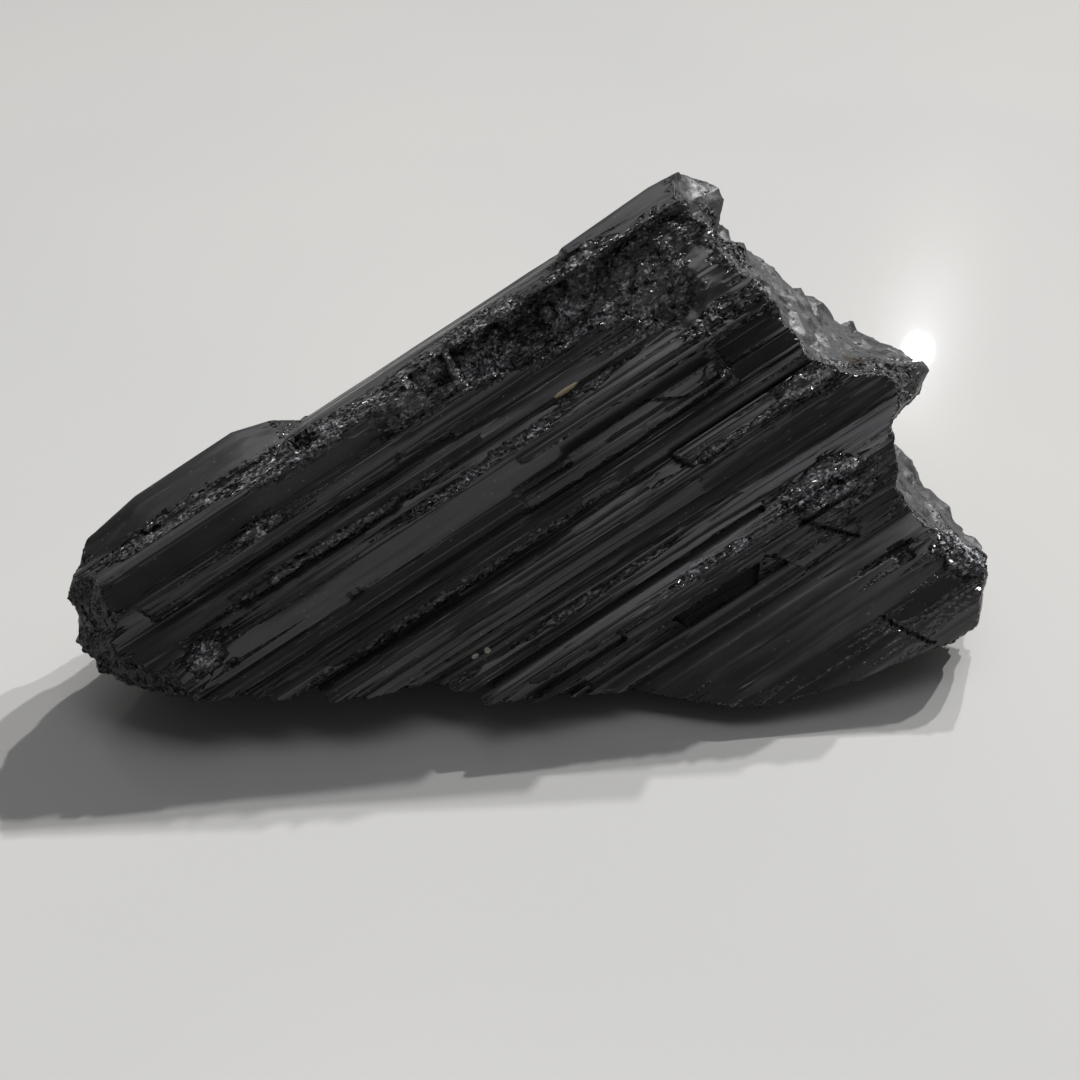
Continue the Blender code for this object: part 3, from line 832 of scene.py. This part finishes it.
own_x = stone.node("ShaderNodeSeparateXYZ", {}, {0: own_place}, "X")
own_y = own_x.also("Y")
in_front = own_x.also("Z").rising(FRONT_DEPTH, FRONT_DEPTH + 1.0)
frayed = stretched_noise(2.0, 2.0, 1.0) * 0.9
on_spot = 0.0
for x, y, half_length, half_width, tint in SPOTS:
    apart = ((own_x - x) * (1.0 / half_length)) ** 2.0 + ((own_y - y) * (1.0 / half_width)) ** 2.0
    spot = (1.0 - (apart + frayed).rising(1.1, 1.5)) * in_front
    colour = spot.mixed(colour, tint)
    on_spot = spot + on_spot
print("%d stains" % len(SPOTS))

# %% [markdown]
# ## Facets too small for the mesh
# On a break every grain has a slope of its own, down to the smallest. The mesh has the larger
# grains, and a Bump node tilts the light on the rest. The height of a tilted facet is its slope
# times the way from its middle, and the cells' colours give the slopes.

# %% Tilt the small facets
FACETS_TO_MM = 2.4

facet_cells = cells(FACETS_TO_MM)
drawn = stone.node(
    "ShaderNodeVectorMath", {"operation": "SCALE"}, {0: own_place, "Scale": FACETS_TO_MM}
)
from_middle = {0: drawn, 1: facet_cells.also("Position")}
offset = stone.node("ShaderNodeVectorMath", {"operation": "SUBTRACT"}, from_middle)
around_zero = {0: facet_cells, 1: (0.5, 0.5, 0.5)}
slope = stone.node("ShaderNodeVectorMath", {"operation": "SUBTRACT"}, around_zero)
facet = stone.node("ShaderNodeVectorMath", {"operation": "DOT_PRODUCT"}, {0: slope, 1: offset}, 1)
print("a facet is about %.1f mm wide" % (1.0 / FACETS_TO_MM))

# %% [markdown]
# ## Striations and gloss
# A clean face is nearly a mirror, dulled by striations along the columns that are thinner than a
# hair. They feed the same Bump node, and they vary the roughness. Breaks, ends and stains are
# duller.

# %% Bump the surface and set the gloss
STREAK_HEIGHT = 0.016  # in mm
HAIRLINE_HEIGHT = 0.006
FACET_TILT = 0.45
FACET_TILT_LOST = 0.37  # on the ends
CLEAN_GLOSS = 0.20  # a roughness

height = streaky * STREAK_HEIGHT * (1.0 - 0.8 * calm_mark) * (1.0 - end_mark)
height = height + hairlines * HAIRLINE_HEIGHT
height = height + facet * rough_mark * (FACET_TILT - FACET_TILT_LOST * end_mark)
bumps = {"Strength": 1.0, "Distance": MM, "Height": height}
bump = stone.node("ShaderNodeBump", {}, bumps, "Normal")
gloss = CLEAN_GLOSS + streaky.rising(0.3, 0.7) * 0.10 + rough_mark * 0.06 + end_mark * 0.20
gloss = gloss + on_spot * 0.3
shine(shader, Base_Color=colour, Roughness=gloss, Normal=bump)
mesh.materials.clear()
mesh.materials.append(finish)
print("%s has %d nodes" % (finish.name, len(finish.node_tree.nodes)))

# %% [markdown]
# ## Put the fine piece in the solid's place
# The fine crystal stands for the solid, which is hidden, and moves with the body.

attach(crystal, "root")
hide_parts("tourmaline_crystal")
print("%s: %d triangles" % (crystal.name, len(mesh.polygons)))

# %% [markdown]
# ## The table
# A pale, lacquered table top. It is more than a backdrop: the long facets that turn down are grey
# only because they mirror it. A big flat plane is enough, with a little cloudiness and gloss.

# %% Make the table top
TABLE_SIDE = 6.0  # in metres
PALE = (0.735, 0.722, 0.697, 1.0)
PALE_COOL = (0.700, 0.694, 0.678, 1.0)
LACQUER_IOR = 1.45
COAT_WEIGHT = 0.6
COAT_ROUGHNESS = 0.03

table_mesh = bpy.data.meshes.new("table_top")
half = TABLE_SIDE / 2.0
corners = [(-half, -half, 0.0), (half, -half, 0.0), (half, half, 0.0), (-half, half, 0.0)]
table_mesh.from_pydata(corners, [], [(0, 1, 2, 3)])
table_top = bpy.data.objects.new("table_top", table_mesh)
bpy.context.scene.collection.objects.link(table_top)
lacquer, lacquer_shader, coating = new_finish("pale_lacquer")
place = coating.node("ShaderNodeTexCoord", output="Object")
cloud = coating.node("ShaderNodeTexNoise", {}, {"Vector": place, "Scale": 7.0, "Detail": 2.0})
shine(lacquer_shader, Base_Color=cloud.rising(0.3, 0.7).mixed(PALE, PALE_COOL))
shine(lacquer_shader, Roughness=0.17 + cloud * 0.04)
lacquer_shader.inputs["IOR"].default_value = LACQUER_IOR
lacquer_shader.inputs["Coat Weight"].default_value = COAT_WEIGHT
lacquer_shader.inputs["Coat Roughness"].default_value = COAT_ROUGHNESS
table_mesh.materials.append(lacquer)
print("table top: %.0f m square" % TABLE_SIDE)

# %% [markdown]
# ## The light
# A row of three lamps, behind on the right, gives the shadow its three edges. They are far away, so
# that the table is evenly lit. None of them reaches the front of the piece, which is why it stays
# so dark. Each lamp is set by where it is and by its share of the light on the table. A small bulb
# adds next to no light, but the table mirrors it as a bright dot.

# %% Hang the lamps
TABLE_LIGHT = 2.50  # light on the table from all the lamps, as radiance times pi
LAMP_DISTANCE = 3.0  # in metres
LAMP_DEGREES = 1.2  # how wide a lamp looks from the table
LAMPS = {  # the way to the lamp for each unit of height, to the right and back, and its share
    "near_lamp": (0.46, 1.21, 0.32),
    "middle_lamp": (0.78, 1.18, 0.38),
    "far_lamp": (1.10, 1.14, 0.30),
}


def hang_lamp(name, way, power, width):
    """A round area lamp that faces the piece, at the lamps' distance."""
    lamp = bpy.data.lights.new(name, "AREA")
    lamp.shape = "DISK"
    lamp.size = width
    lamp.energy = power
    hung = bpy.data.objects.new(name, lamp)
    bpy.context.scene.collection.objects.link(hung)
    hung.location = way * LAMP_DISTANCE
    hung.rotation_euler = way.to_track_quat("Z", "Y").to_euler()
    return hung


lamp_width = 2.0 * LAMP_DISTANCE * math.tan(math.radians(LAMP_DEGREES / 2.0))
for name, (right, back, share) in LAMPS.items():
    way = Vector((right, back, 1.0)).normalized()
    power = math.pi * LAMP_DISTANCE**2 * TABLE_LIGHT * share / way.z
    hung = hang_lamp(name, way, power, lamp_width)
    hung.visible_glossy = name == "far_lamp"  # the table would mirror the other two in view
    print("%s: %.0f W" % (name, power))

# %% Hang the bulb
BULB_MIRROR = Vector((0.0642, 0.0567, 0.0))  # where the table mirrors the bulb, in metres
BULB_WAY = Vector((0.271, 0.872, 0.509))  # the way from there to the bulb
BULB_POWER = 0.6
BULB_WIDTH = 0.065

hang_lamp("bulb", (BULB_MIRROR + BULB_WAY * LAMP_DISTANCE).normalized(), BULB_POWER, BULB_WIDTH)
print("bulb: %.1f W" % BULB_POWER)

# %% [markdown]
# ## The room
# What a glossy black stone shows is mostly the room round it. A picture of a room could be wrapped
# round the scene, but a few smooth gradients are enough: dark where the viewer stands, a pale wall
# behind, a bright patch of ceiling over the back half, and all round the horizon a little of the
# table's own light.

# %% Paint the room
DARK_ROOM = (0.045, 0.045, 0.047, 1.0)
PALE_WALL = (0.22, 0.217, 0.213, 1.0)
CEILING = (1.05, 1.06, 1.1, 1.0)
HORIZON = (0.34, 0.335, 0.325, 1.0)

room = bpy.data.worlds.new("room")
bpy.context.scene.world = room
room.use_nodes = True
sky = Wire(room.node_tree)
way = sky.node("ShaderNodeTexCoord", output="Generated")
back = sky.node("ShaderNodeSeparateXYZ", {}, {0: way}, "Y")
right, overhead = back.also("X"), back.also("Z")
on_wall = (back + right * 0.25).rising(-0.1, 0.6) * (1.0 - overhead.rising(0.6, 0.9))
on_ceiling = overhead.rising(0.8, 0.95) * (back + right * 0.3).rising(-0.12, 0.1)
on_horizon = (1.0 - overhead.rising(0.02, 0.25)) * (1.0 - on_wall)
light = on_wall.mixed(DARK_ROOM, PALE_WALL)
light = on_horizon.mixed(on_ceiling.mixed(light, CEILING), HORIZON)
background = room.node_tree.nodes["Background"]
room.node_tree.links.new(light.output, background.inputs["Color"])
print("the pale wall is %.0f times as bright as the dark room" % (PALE_WALL[0] / DARK_ROOM[0]))

# %% [markdown]
# ## The size, and the end
# The dressed piece has to keep the size of the solid.
